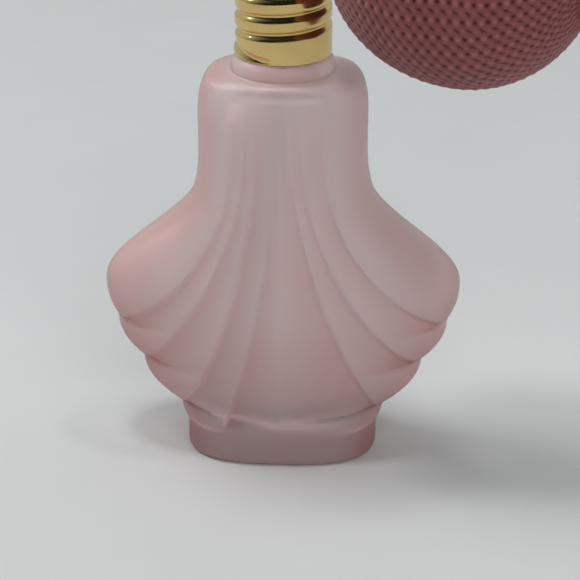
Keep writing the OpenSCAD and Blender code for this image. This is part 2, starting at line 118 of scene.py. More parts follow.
class Shader:
    """Builds one material around a Principled shader."""

    def __init__(self, name: str) -> None:
        """Makes an empty node material.

        Args:
            name: The material's name.
        """
        self.material = bpy.data.materials.new(name)
        self.material.use_nodes = True
        self.tree = self.material.node_tree
        self.tree.nodes.clear()

    def node(
        self,
        kind: str,
        settings: dict[str, Any] | None = None,
        values: dict[Any, Any] | None = None,
        out: Any = 0,
    ) -> Signal:
        """Makes one node.

        Args:
            kind: The node's type.
            settings: The node's own settings, set first; "stops" fills a colour ramp.
            values: Numbers, colours or signals for its sockets, by name or place.
            out: Which output to return.

        Returns:
            The output as a signal.
        """
        made = self.tree.nodes.new(kind)
        for key, value in (settings or {}).items():
            if key == "stops":
                ramp = made.color_ramp.elements
                while len(ramp) < len(value):
                    ramp.new(0.5)
                for element, (place, level) in zip(ramp, value):
                    element.position = place
                    element.color = (level, level, level, 1.0)
            else:
                setattr(made, key, value)
        for key, value in (values or {}).items():
            socket = made.inputs[key]
            if isinstance(value, Signal):
                self.tree.links.new(value.socket, socket)
            elif socket.type == "RGBA" and len(value) == 3:
                socket.default_value = (*value, 1.0)
            else:
                socket.default_value = value
        return Signal(self, made.outputs[out])

    def place(self, scale: Triple = (1.0, 1.0, 1.0)) -> Signal:
        """Returns the surface's own coordinates, in metres times scale."""
        own = self.node("ShaderNodeTexCoord", out="Object")
        return self.node("ShaderNodeVectorMath", {"operation": "MULTIPLY"}, {0: own, 1: scale})

    def noise(self, scale: float, detail: float = 3.0, stretch: Triple = (1.0, 1.0, 1.0)) -> Signal:
        """Returns a noise pattern.

        Args:
            scale: Features per metre.
            detail: Octaves.
            stretch: How much the pattern is squeezed along each axis.

        Returns:
            A value around one half.
        """
        values = {"Vector": self.place(stretch), "Scale": scale, "Detail": detail}
        return self.node("ShaderNodeTexNoise", values=values)

    def attribute(self, name: str) -> Signal:
        """Returns a number that the mesh holds at its points."""
        return self.node("ShaderNodeAttribute", {"attribute_name": name}, out="Fac")

    def steps(self, signal: Signal, *stops: tuple[float, float]) -> Signal:
        """Returns signal after a ramp of (place, level) stops."""
        return self.node("ShaderNodeValToRGB", {"stops": stops}, {0: signal})

    def blend(self, share: Any, first: Any, second: Any) -> Signal:
        """Returns a colour that goes from first to second as share goes from 0 to 1."""
        return self.node("ShaderNodeMix", {"data_type": "RGBA"}, {0: share, 6: first, 7: second}, out=2)

    def bump(self, height: Signal, depth: float, strength: float = 1.0) -> Signal:
        """Returns a normal for a height pattern.

        Args:
            height: The pattern.
            depth: How far 1.0 of the pattern stands out, in metres.
            strength: The share of it that shows.

        Returns:
            The normal.
        """
        values = {"Strength": strength, "Distance": depth, "Height": height}
        return self.node("ShaderNodeBump", values=values)

    def finish(self, values: dict[str, Any]) -> bpy.types.Material:
        """Closes the material with a Principled shader.

        Args:
            values: The shader's socket values and links.

        Returns:
            The material.
        """
        surface = self.node("ShaderNodeBsdfPrincipled", values=values)
        end = self.tree.nodes.new("ShaderNodeOutputMaterial")
        self.tree.links.new(surface.socket, end.inputs["Surface"])
        return self.material


# --- Finishes ---


@dataclass(frozen=True)
class FrostedGlass:
    """Acid-frosted pink glass: pale where it is thin and deep pink where it is thick, with painted shade that
    deepens the pink in the folds and at the sides.
    """

    pale: Colour = (0.95, 0.85, 0.84)
    deep: Colour = (0.82, 0.36, 0.36)
    clear_share: float = 0.6
    roughness: float = 0.42
    index: float = 1.48

    def material(self) -> bpy.types.Material:
        """Returns the material; the mesh's "fold" number drives its depth of colour, which holds painted
        shade as well as the deeper pink of thick glass.
        """
        s = Shader("frosted_glass")
        cloud = s.noise(90.0, 4.0)
        grain = s.noise(5200.0, 2.0)
        # Painted shade: the "fold" number darkens the pink in the folds and at the sides.
        depth = s.steps(s.attribute("fold") + (cloud - 0.5) * 0.18, (0.0, 0.0), (1.0, 1.0))
        colour = s.blend(depth, self.pale, self.deep)
        return s.finish({
            "Base Color": colour,
            "Roughness": (grain - 0.5) * 0.16 + (cloud - 0.5) * 0.12 + self.roughness,
            "IOR": self.index,
            "Transmission Weight": self.clear_share,
            "Normal": s.bump(grain, 0.00002, 0.35),
        })


@dataclass(frozen=True)
class PlatedGold:
    """Thin gold plate on bright metal, with faint rubbing and finger haze."""

    bright: Colour = (0.72, 0.53, 0.22)
    rubbed: Colour = (0.66, 0.46, 0.18)
    polish: float = 0.09
    haze: float = 0.13

    def material(self) -> bpy.types.Material:
        """Returns the material."""
        s = Shader("gold")
        haze = s.steps(s.noise(160.0, 5.0), (0.38, 0.0), (0.72, 1.0))
        lines = s.noise(900.0, 3.0, (1.0, 1.0, 9.0))
        return s.finish({
            "Base Color": s.blend(haze * 0.55 + (lines - 0.5) * 0.3, self.bright, self.rubbed),
            "Metallic": 1.0,
            "Roughness": haze * self.haze + lines * 0.05 + self.polish,
            "Normal": s.bump(lines + s.noise(240.0, 2.0) * 2.0, 0.00001, 0.4),
        })


@dataclass(frozen=True)
class KnittedYarn:
    """Soft rayon yarn: lit loops, and shaded in the holes of the net."""

    loop: Colour = (0.37, 0.115, 0.115)
    shade: Colour = (0.075, 0.010, 0.012)
    fibre_scale: float = 4200.0

    def material(self) -> bpy.types.Material:
        """Returns the material; the mesh's "stitch" number is 0 in a hole and 1 on a loop."""
        s = Shader("knitted_yarn")
        fibres = s.noise(self.fibre_scale, 3.0)
        patches = s.noise(140.0, 3.0)
        height = s.attribute("stitch")
        share = s.steps(height + (fibres - 0.5) * 0.35 + (patches - 0.5) * 0.16, (0.12, 0.0), (0.86, 1.0))
        return s.finish({
            "Base Color": s.blend(share, self.shade, self.loop),
            "Roughness": 0.95 - share * 0.2,
            "Sheen Weight": 0.35,
            "Sheen Roughness": 0.4,
            "Sheen Tint": (0.95, 0.66, 0.68, 1.0),
            "Normal": s.bump(fibres, 0.00012, 0.7),
        })


@dataclass(frozen=True)
class Twine:
    """Spun thread, darker between its strands."""

    light: Colour = (0.44, 0.17, 0.20)
    dark: Colour = (0.22, 0.07, 0.09)

    def material(self) -> bpy.types.Material:
        """Returns the material."""
        s = Shader("twine")
        fibres = s.noise(5200.0, 3.0, (1.0, 1.0, 0.4))
        return s.finish({
            "Base Color": s.blend(fibres, self.dark, self.light),
            "Roughness": 0.95 - fibres * 0.15,
            "Sheen Weight": 0.2,
            "Normal": s.bump(fibres, 0.0001, 0.6),
        })


@dataclass(frozen=True)
class Moulded:
    """A moulded or drawn material with an even colour, faint clouding and fine grain."""

    name: str
    colour: Colour
    second: Colour
    roughness: float
    grain: float = 1800.0
    relief: float = 0.00002
    metallic: float = 0.0
    clear_share: float = 0.0

    def material(self) -> bpy.types.Material:
        """Returns the material."""
        s = Shader(self.name)
        cloud = s.noise(220.0, 4.0)
        grain = s.noise(self.grain, 3.0)
        return s.finish({
            "Base Color": s.blend(s.steps(cloud, (0.3, 0.0), (0.7, 1.0)), self.colour, self.second),
            "Metallic": self.metallic,
            "Transmission Weight": self.clear_share,
            "Roughness": (grain - 0.5) * 0.14 + self.roughness,
            "Normal": s.bump(grain, self.relief, 0.5),
        })


class Finish(Enum):
    """Every finish on the object, by the record's slot name."""

    GLASS = ("frosted_glass", FrostedGlass())
    GOLD = ("gold", PlatedGold())
    YARN = ("knit", KnittedYarn())
    TWINE = ("cord", Twine())
    BULB_RUBBER = ("bulb_rubber", Moulded("bulb_rubber", (0.22, 0.08, 0.09), (0.30, 0.12, 0.13), 0.62))
    SEAL_RUBBER = ("seal_rubber", Moulded("seal_rubber", (0.030, 0.030, 0.032), (0.055, 0.054, 0.055), 0.6))
    STEEL = ("steel", Moulded("turned_steel", (0.60, 0.61, 0.63), (0.48, 0.49, 0.51), 0.28, metallic=1.0))
    WHITE_PLASTIC = ("white_plastic", Moulded("white_plastic", (0.80, 0.79, 0.75), (0.74, 0.72, 0.68), 0.4))
    TUBE_PLASTIC = (
        "clear_plastic",
        Moulded("tube_plastic", (0.88, 0.88, 0.86), (0.80, 0.81, 0.80), 0.32, clear_share=0.6),
    )

    def __init__(self, slot: str, look: Any) -> None:
        """Holds the slot's name and the look that fills it."""
        self.slot = slot
        self.look = look

    def material(self) -> bpy.types.Material:
        """Returns this finish's one material, made on first use."""
        made = MADE.get(self.slot)
        if made is None:
            made = MADE[self.slot] = self.look.material()
        return made


MADE: dict[str, bpy.types.Material] = {}


# --- Mesh work ---


def smooth(t: Any) -> Any:
    """Returns 0 below 0, 1 above 1 and a smooth rise between."""
    c = np.clip(t, 0.0, 1.0)
    return c * c * (3.0 - 2.0 * c)


def round_angles(count: int) -> np.ndarray:
    """Returns even angles round a circle, as one row."""
    return (np.arange(count) * math.tau / count)[None, :]


def squared_oval(half_w: Any, half_d: Any, power: Any, angle: np.ndarray) -> tuple[np.ndarray, np.ndarray]:
    """Returns (x, y) round an oval, which a power above 2 makes squarer."""
    c, s = np.cos(angle), np.sin(angle)
    return half_w * np.sign(c) * np.abs(c) ** (2 / power), half_d * np.sign(s) * np.abs(s) ** (2 / power)


def placed(name: str, data: Any) -> bpy.types.Object:
    """Returns a new object with this data, linked to the scene."""
    made = bpy.data.objects.new(name, data)
    bpy.context.scene.collection.objects.link(made)
    return made


def rounded(corners: Profile, radius: float, steps: int = 4) -> list[tuple[float, float]]:
    """Rounds the corners of a closed outline.

    Args:
        corners: The outline's corners, in order.
        radius: The largest rounding; a short side takes less.
        steps: Points on each rounding, less one.

    Returns:
        The rounded outline. A corner on the axis stays sharp.
    """
    out: list[tuple[float, float]] = []
    points = [Vector(c) for c in corners]
    for k, here in enumerate(points):
        before, after = points[k - 1], points[(k + 1) % len(points)]
        a, b = before - here, after - here
        reach = min(radius, 0.45 * a.length, 0.45 * b.length)
        if here.x < 1e-9 or reach < 1e-7:
            out.append((here.x, here.y))
            continue
        start, end = here + a.normalized() * reach, here + b.normalized() * reach
        for i in range(steps + 1):
            t = i / steps
            p = start.lerp(here, t).lerp(here.lerp(end, t), t)
            out.append((p.x, p.y))
    return out


@dataclass(frozen=True)
class Spindle:
    """A line that turned pieces are made around.

    Args:
        origin: The point where stations are counted from.
        along: The line's direction, of length 1.
    """

    origin: Vector
    along: Vector

    def points(self, radius: Any, angle: Any, station: Any) -> np.ndarray:
        """Returns points at a radius and an angle around the line and a station along it."""
        side = self.along.orthogonal().normalized() if abs(self.along.z) < 0.9 else Vector((1.0, 0.0, 0.0))
        up = self.along.cross(side)
        radius, angle, station = np.broadcast_arrays(radius, angle, station)
        return (
            np.array(self.origin)
            + station[..., None] * np.array(self.along)
            + (radius * np.cos(angle))[..., None] * np.array(side)
            + (radius * np.sin(angle))[..., None] * np.array(up)
        )


def skin(
    name: str,
    grid: np.ndarray,
    finish: Finish,
    body: str,
    nodes: Iterable[str] = (),
    loop_rows: bool = False,
    sharp: float = 50.0,
    numbers: dict[str, np.ndarray] | None = None,
) -> bpy.types.Object:
    """Makes a piece from a grid of points whose rows are closed rings.

    Args:
        name: The piece's name.
        grid: Points, as rows by columns by 3.
        finish: What the piece is made of.
        body: The CAD body that it rides on.
        nodes: The CAD nodes that it stands for.
        loop_rows: True if the last row joins the first.
        sharp: Edges that turn more than this many degrees stay crisp.
        numbers: Values for each point that the material reads.

    Returns:
        The object.
    """
    rows, columns = grid.shape[:2]
    index = np.arange(rows * columns).reshape(rows, columns)
    above = np.roll(index, -1, axis=0) if loop_rows else index[1:]
    below = index if loop_rows else index[:-1]
    faces = np.stack([below, np.roll(below, -1, 1), np.roll(above, -1, 1), above], -1).reshape(-1, 4)
    mesh = bpy.data.meshes.new(name)
    mesh.from_pydata(grid.reshape(-1, 3).tolist(), [], faces.tolist())
    for key, values in (numbers or {}).items():
        layer = mesh.attributes.new(key, "FLOAT", "POINT")
        layer.data.foreach_set("value", values.astype(np.float32).ravel())
    work = bmesh.new()
    work.from_mesh(mesh)
    bmesh.ops.remove_doubles(work, verts=work.verts, dist=1e-7)
    bmesh.ops.recalc_face_normals(work, faces=work.faces)
    work.to_mesh(mesh)
    work.free()
    mesh.shade_smooth()
    mesh.set_sharp_from_angle(angle=math.radians(sharp))
    piece = placed(name, mesh)
    mesh.materials.append(finish.material())
    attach(piece, body)
    if nodes:
        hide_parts(*nodes)
    LOG.info("%s: %d faces on %s", name, len(mesh.polygons), body)
    return piece


def turned(
    name: str, profile: Profile, spindle: Spindle, finish: Finish, body: str, nodes: Iterable[str] = (),
    round_off: float = 0.15 * MM, segments: int = 128, shape: Callable[[Any, Any, Any], Any] | None = None,
) -> bpy.types.Object:
    """Turns a closed profile of (radius, station) corners around a spindle.

    Args:
        name: The piece's name.
        profile: The corners, in metres.
        spindle: The line that it is turned around.
        finish: What the piece is made of.
        body: The CAD body that it rides on.
        nodes: The CAD nodes that it stands for.
        round_off: How far its corners are rounded.
        segments: Facets round the piece.
        shape: Gives a radius from (radius, angle, station), for flutes or folds.

    Returns:
        The object.
    """
    outline = np.array(rounded(profile, round_off))
    angle = round_angles(segments)
    radius, station = outline[:, :1], outline[:, 1:]
    if shape is not None:
        radius = shape(radius, angle, station)
    grid = spindle.points(radius, angle, station)
    return skin(name, grid, finish, body, nodes, loop_rows=True)


def in_mm(*corners: tuple[float, float]) -> list[tuple[float, float]]:
    """Returns corners given in millimetres, in metres."""
    return [(r * MM, s * MM) for r, s in corners]


def dress(finish: Finish, *names: str) -> None:
    """Gives CAD nodes whose shape is right a finish of their own."""
    for name in names:
        node = frame["nodes"][name]
        node.data.materials.clear()
        node.data.materials.append(finish.material())
        LOG.info("%s keeps its CAD shape in %s", name, finish.slot)


def box_middle(node: str) -> Vector:
    """Returns the middle of a CAD node's box."""
    low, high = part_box(node)
    return (low + high) / 2


def squeeze_joint() -> dict[str, Any]:
    """Returns the joint that moves the far end of the bulb."""
    return next(j for j in frame["joints"] if j["name"] == "bulb_squeeze")


UPRIGHT = Spindle(Vector((0.0, 0.0, 0.0)), Vector((0.0, 0.0, 1.0)))
BULB_LINE = Spindle(
    Vector((0.0, 0.0, box_middle("air_stem").z)), -Vector(squeeze_joint()["axis"]).normalized()
)


# --- Bottle ---


@dataclass(frozen=True)
class PleatEdge:
    """One pleat's proud edge, which leaves the column upright and sweeps out to the end of a lobe.

    Args:
        top_x: Distance from the middle at the top, in millimetres.
        end_x: Distance from the middle at its lower end.
        end_z: Height of its lower end.
        sweep: How late it turns outwards.
    """

    top_x: float
    end_x: float
    end_z: float
    sweep: float

    def x_at(self, z: np.ndarray, top_z: float) -> np.ndarray:
        """Returns the edge's distance from the middle at heights z."""
        t = np.clip((top_z - z) / (top_z - self.end_z), 0.0, 1.0)
        return self.top_x + (self.end_x - self.top_x) * t**self.sweep


@dataclass
class GlassBottle:
    """The pressed glass bottle, in millimetres until its points are placed."""

    widest_half_w: float = 32.05
    widest_z: float = 32.0
    column_half_w: float = 15.0
    column_half_d: float = 11.7
    belly_half_d: float = 14.4
    belly_top_z: float = 24.0
    belly_blend_h: float = 36.0
    kink_z: float = 49.0
    kink_flare: float = 1.15
    flare_slope: float = 0.5
    shoulder_z: float = 71.6
    shoulder_start_z: float = 64.4
    shoulder_half_w: float = 11.75
    shoulder_half_d: float = 10.3
    shoulder_power_w: float = 2.35
    shoulder_power_d: float = 2.85
    waist_z: float = 57.0
    plinth_half_w: float = 17.3
    plinth_half_d: float = 12.9
    plinth_h: float = 6.2
    base_round: float = 1.2
    bead_r: float = 9.25
    neck_r: float = 7.3
    bore_r: float = 4.6
    neck_top_z: float = 85.8
    wall: float = 3.4
    floor: float = 6.5
    cavity_top_z: float = 70.0
    cavity_taper: float = 14.8
    cavity_taper_h: float = 26.0
    relief: float = 1.05
    step: float = 1.15
    pleat_top_z: float = 65.5
    lobe_power: float = 2.4
    lobe_ends: tuple[tuple[float, float], ...] = ((25.2, 30.0), (17.7, 25.5), (9.2, 18.6))
    left_edges: tuple[PleatEdge, ...] = (
        PleatEdge(9.2, 30.0, 25.2, 3.1), PleatEdge(6.8, 25.5, 17.7, 2.4),
        PleatEdge(5.4, 18.6, 9.2, 2.5), PleatEdge(1.0, 10.6, 6.8, 2.1),
    )
    right_edges: tuple[PleatEdge, ...] = (
        PleatEdge(7.9, 30.0, 25.2, 2.9), PleatEdge(3.9, 25.5, 17.7, 2.4), PleatEdge(1.6, 18.6, 9.2, 1.9),
    )
    columns: int = 360
    body_rows: int = 168
    cavity_rows: int = 22
    thread_pitch: float = 3.3
    thread_h: float = 0.55
    thread_turns: float = 2.1
    thread_start_z: float = 78.525

    def _lobe(self, z: np.ndarray, top: tuple[float, float], end: tuple[float, float]) -> np.ndarray:
        """Returns the half width along one convex lobe, from (z, w) at its top to (z, w) at its end."""
        t = np.clip((top[0] - z) / (top[0] - end[0]), 0.0, 1.0)
        return end[1] + (top[1] - end[1]) * (1.0 - t**self.lobe_power)

    def _round_over(self, z: np.ndarray, low: float, high: float, power: float) -> np.ndarray:
        """Returns a half size over the shoulder, from low at its start to high at its flat top."""
        t = np.clip((z - self.shoulder_start_z) / (self.shoulder_z - self.shoulder_start_z), 0.0, 1.0)
        return high + (low - high) * (1.0 - t**power) ** (1 / power)

    def _base_inset(self, z: np.ndarray) -> np.ndarray:
        """Returns how far the rounded bottom edge lies inside the plinth."""
        t = np.clip(self.base_round - z, 0.0, self.base_round)
        return self.base_round - np.sqrt(self.base_round**2 - t**2)

    def half_width(self, z: np.ndarray) -> np.ndarray:
        """Returns half the bottle's width at heights z."""
        kink_w = self.column_half_w + self.kink_flare
        w = np.clip((self.kink_z - z) / (self.kink_z - self.widest_z), 0.0, 1.0)
        rise = self.flare_slope * (w**3 - 2 * w**2 + w) + 3 * w**2 - 2 * w**3
        flare = kink_w + (self.widest_half_w - kink_w) * rise
        waist = np.clip((self.waist_z - z) / (self.waist_z - self.kink_z), 0.0, 1.0)
        foot = (self.plinth_h, self.plinth_half_w + 0.3)
        ends = ((self.widest_z, self.widest_half_w), *self.lobe_ends, foot)
        rules = [z > self.shoulder_start_z, z > self.kink_z, z > self.widest_z]
        shoulder = self._round_over(z, self.column_half_w, self.shoulder_half_w, self.shoulder_power_w)
        widths = [shoulder, self.column_half_w + self.kink_flare * waist**2, flare]
        for top, end in zip(ends, ends[1:]):
            rules.append(z > end[0])
            widths.append(self._lobe(z, top, end))
        return np.select(rules, widths, self.plinth_half_w - self._base_inset(z))

    def half_depth(self, z: np.ndarray) -> np.ndarray:
        """Returns half the bottle's depth at heights z."""
        shoulder = self._round_over(z, self.column_half_d, self.shoulder_half_d, self.shoulder_power_d)
        narrowing = smooth((z - self.belly_top_z) / self.belly_blend_h)
        upper = self.belly_half_d + (self.column_half_d - self.belly_half_d) * narrowing
        foot = 0.4 * smooth((z - self.plinth_h) / 5) + 0.6 * smooth((z - self.plinth_h) / 17)
        lower = self.plinth_half_d + (self.belly_half_d - self.plinth_half_d) * foot
        return np.select(
            [z > self.shoulder_start_z, z > self.belly_top_z, z > self.plinth_h],
            [shoulder, upper, lower],
            self.plinth_half_d - self._base_inset(z),
        )

    def section_power(self, z: np.ndarray) -> np.ndarray:
        """Returns how square the section is at heights z: 2 is an ellipse."""
        return 2.15 + 0.55 * smooth((z - 40) / 14) + 0.65 * smooth((10 - z) / 4)

    def folds(self, x: np.ndarray, z: np.ndarray) -> np.ndarray:
        """Returns how far into a fold each point lies, from 0 on a proud edge to 1 at the bottom of a fold.

        Args:
            x: Distance across the front, to the right of the middle.
            z: Height.
        """
        depth = np.zeros(np.broadcast(x, z).shape)
        for side, edges in ((-1, self.left_edges), (1, self.right_edges)):
            out = x * side
            places = [e.x_at(z, self.pleat_top_z) for e in edges] + [np.zeros_like(z)]
            for edge, outer, inner in zip(edges, places, places[1:]):
                width = np.maximum(outer - inner, 0.05)
                inside = (out >= inner) & (out < outer) & (out >= 0) & (z > edge.end_z)
                gap = outer - out
                rise = smooth(gap / np.minimum(self.step, width / 2)) * np.clip((width - gap) / width, 0, 1)
                depth = np.where(inside, rise, depth)
        return depth

    def outer(self, angle: np.ndarray, z: np.ndarray) -> tuple[np.ndarray, np.ndarray]:
        """Returns the outer points in millimetres and how deep in a fold each lies."""
        half_w = self.half_width(z)
        x, y = squared_oval(half_w, self.half_depth(z), self.section_power(z), angle)
        fold = self.folds(np.where(y < 0, x, -x), z)
        fade = smooth((self.pleat_top_z + 3 - z) / 9) * smooth((z - self.plinth_h) / 3)
        fade = fade * smooth((1 - np.abs(x) / half_w) / 0.1) * (0.4 + 0.6 * smooth((62 - z) / 24))
        crease = 0.4 * np.exp(-(((z - self.shoulder_z + 1.6) / 0.75) ** 2)) * smooth((9.5 - np.abs(x)) / 5)
        cut = self.relief * fold * fade + crease
        return np.stack(np.broadcast_arrays(x, y - np.sign(y) * cut, z), -1), fold * fade

    def _neck_profile(self) -> np.ndarray:
        """Returns (radius, height) from the shoulder over the bead to the top of the neck."""
        bead_line = ((0.5, 0.03), (0.12, 0.12), (-0.05, 0.3), (0, 0.6), (0, 1.0), (-0.15, 1.6), (-0.5, 2.4))
        bead = [(self.bead_r + out, self.shoulder_z + up) for out, up in bead_line]
        bead += [(self.neck_r + out, self.shoulder_z + up) for out, up in ((0.8, 3.0), (0.5, 3.3), (0, 3.9))]
        neck = [(self.neck_r, z) for z in np.linspace(self.shoulder_z + 4.3, self.neck_top_z - 0.6, 34)]
        lip = [(self.neck_r - inset, self.neck_top_z - drop) for inset, drop in ((0.1, 0.3), (0.4, 0))]
        lip += [(self.bore_r + 0.3, self.neck_top_z), (self.bore_r, self.neck_top_z - 0.3)]
        return np.array(bead + neck + lip)

    def _thread(self, angle: np.ndarray, z: np.ndarray) -> np.ndarray:
        """Returns how far the moulded thread stands out of the neck."""
        start = -math.pi / 2
        turn = (z - self.thread_start_z) / self.thread_pitch
        around = ((angle - start) / math.tau) % 1.0
        nearest = np.round(turn - around)
        along = nearest + around
        off = np.abs(turn - along) * self.thread_pitch
        ends = smooth(along * 8) * smooth((self.thread_turns - along) * 8)
        return self.thread_h * smooth((1.05 - off) / 0.5) * ends

    def _hollow(self, angle: np.ndarray, share: np.ndarray) -> np.ndarray:
        """Returns the hollow's points, from share 1 under the neck to 0 at the floor."""
        z = self.floor + (self.cavity_top_z - self.floor) * share
        low = np.minimum(z, self.shoulder_start_z)
        drop = np.clip((self.widest_z - low) / self.cavity_taper_h, 0, 1) ** 1.7
        smooth_w = self.widest_half_w - self.cavity_taper * drop
        env = np.where(low > self.widest_z, self.half_width(low), smooth_w)
        ends = np.sqrt(np.clip(1 - np.abs(2 * share - 1) ** 9, 0, 1))
        floor_r = np.where(share > 0.5, self.bore_r, 0.0)
        w = np.maximum(floor_r, (env - self.wall - 1) * ends)
        d = np.maximum(floor_r, (self.half_depth(low) - self.wall) * ends)
        power = 2.3 - 0.3 * smooth((share - 0.9) / 0.1)
        x, y = squared_oval(w, d, power, angle)
        return np.stack(np.broadcast_arrays(x, y, z), -1)

    def build(self) -> bpy.types.Object:
        """Makes the bottle as one closed skin: outside, neck, bore and hollow."""
        angle = round_angles(self.columns)
        share = np.linspace(0.0, 1.0, self.body_rows)
        z = (self.shoulder_z * share)[:, None]
        outside, fold = self.outer(angle, z)
        centre = np.zeros((1, self.columns, 3))
        neck = self._neck_profile()
        radius = neck[:, :1] + self._thread(angle, neck[:, 1:]) * (neck[:, :1] > self.neck_r - 0.05)
        round_neck = UPRIGHT.points(radius, angle, neck[:, 1:])
        levels = 0.5 - 0.5 * np.cos(np.linspace(math.pi, 0.0, self.cavity_rows))[:, None]
        inside = self._hollow(angle, levels)
        floor = np.zeros((1, self.columns, 3)) + np.array([0.0, 0.0, self.floor])
        grid = np.concatenate([centre, outside, round_neck, inside, floor])
        tone = np.full(grid.shape[:2], 0.35)
        tone[1 : 1 + self.body_rows] = self._pink_depth_and_painted_shade(outside, fold)
        tone[0] = 0.8
        nodes = ["glass_bottle", "glass_neck"]
        return skin("bottle_glass", grid * MM, Finish.GLASS, "bottle", nodes, numbers={"fold": tone})

    def _pink_depth_and_painted_shade(self, outside: np.ndarray, fold: np.ndarray) -> np.ndarray:
        """Returns how deep the pink is: painted shade in the folds and at the sides, stronger on the left
        side, deeper pink in the thick glass at the foot, and deeper pink on the outer lower lobes and towards
        the bottom.
        """
        x, z = np.abs(outside[..., 0]), outside[..., 2]
        # Painted shade: the pink deepens towards the sides, and more so on the left side.
        side = smooth((x / self.half_width(z) - 0.62) / 0.38)
        left = smooth(-outside[..., 0] / 12.0)
        foot = smooth((10.0 - z) / 5.0)
        lobes = smooth((x - 17.0) / 12.0) * smooth((30.0 - z) / 16.0)
        lower = smooth((36.0 - z) / 26.0)
        edges = (0.42 + 0.12 * left) * side
        # The folds and the sides take painted shade; the thick foot, the outer lower lobes and the lower body
        # take deeper pink.
        return np.clip(0.3 * fold + edges + 0.22 * foot + 0.12 * lobes + 0.28 * lower, 0.0, 1.0)


# --- Collar ---


@dataclass
class ScrewCollar:
    """The thin metal collar, whose thread is rolled in from outside, in millimetres."""

    rim_z: float = 74.8
    top_z: float = 88.8
    radius: float = 8.5
    wall: float = 0.35
    pitch: float = 3.3
    groove: float = 0.5
    groove_z: float = 81.0
    last_turn: float = -0.75
    lip_r: float = 5.5
    columns: int = 288
    rows: int = 110

    def _rolled(self, angle: np.ndarray, z: np.ndarray) -> np.ndarray:
        """Returns the depth of the rolled groove, which fades out on its lowest turn."""
        turn = (z - self.groove_z) / self.pitch - angle / math.tau
        nearest = np.round(turn)
        along = nearest + angle / math.tau
        depth = np.abs(np.cos(math.pi * (turn - nearest))) ** 6
        ends = smooth((along - self.last_turn) * 4) * smooth((self.top_z - 1.2 - z) / 1.2)
        return self.groove * depth * ends

    def _behind(self, angle: np.ndarray) -> np.ndarray:
        """Returns how many quarter turns each angle lies past the front, going by the left."""
        return ((1.5 * math.pi - angle) % math.tau) / (math.pi / 2)

    def _run_out(self, angle: np.ndarray, z: np.ndarray) -> np.ndarray:
        """Returns the depth of the low groove that runs down to the rim at the front."""
        back = self._behind(angle)
        height = 0.35 + 2.1 * smooth(back / 1.25) + 0.4 * smooth((back - 1) / 1.5)
        off = (z - self.rim_z - height) / 0.75
        return 0.42 * np.exp(-(off**2)) * smooth(back / 0.25) * smooth((2.9 - back) / 0.9)

    def _rim_bead(self, angle: np.ndarray, z: np.ndarray) -> np.ndarray:
        """Returns how far the curled rim stands out at the back and left."""
        back = self._behind(angle)
        share = smooth(back / 0.9) * smooth((3.2 - back) / 0.9)
        return 0.2 * share * np.exp(-(((z - self.rim_z - 0.9) / 0.8) ** 2))

    def build(self) -> bpy.types.Object:
        """Makes the collar as one closed ring of sheet metal."""
        angle = round_angles(self.columns)
        z = np.linspace(self.rim_z + 0.12, self.top_z - 0.7, self.rows)[:, None]
        cut = self._rolled(angle, z) + self._run_out(angle, z) - self._rim_bead(angle, z)
        outside = self.radius - cut
        inside = (self.radius - self.wall - self._rolled(angle, z))[::-1]
        crown = [
            (self.radius - 0.06, self.top_z - 0.38), (self.radius - 0.26, self.top_z - 0.1),
            (self.radius - 0.55, self.top_z), (self.lip_r + 0.1, self.top_z), (self.lip_r, self.top_z - 0.1),
            (self.lip_r, self.top_z - 0.3), (self.lip_r + 0.1, self.top_z - 0.4),
            (self.radius - 0.8, self.top_z - 0.4), (self.radius - self.wall - 0.1, self.top_z - 0.6),
        ]
        top = np.array(crown)
        rim_r = (outside[:1] + inside[-1:]) / 2
        grid = np.concatenate([
            UPRIGHT.points(outside, angle, z),
            UPRIGHT.points(top[:, :1], angle, top[:, 1:]),
            UPRIGHT.points(inside, angle, z[::-1]),
            UPRIGHT.points(rim_r, angle, np.full((1, 1), self.rim_z)),
        ])
        return skin(
            "rolled_collar", grid * MM, Finish.GOLD, "collar", ["screw_collar"], loop_rows=True, sharp=70
        )


# --- Head and nozzle ---


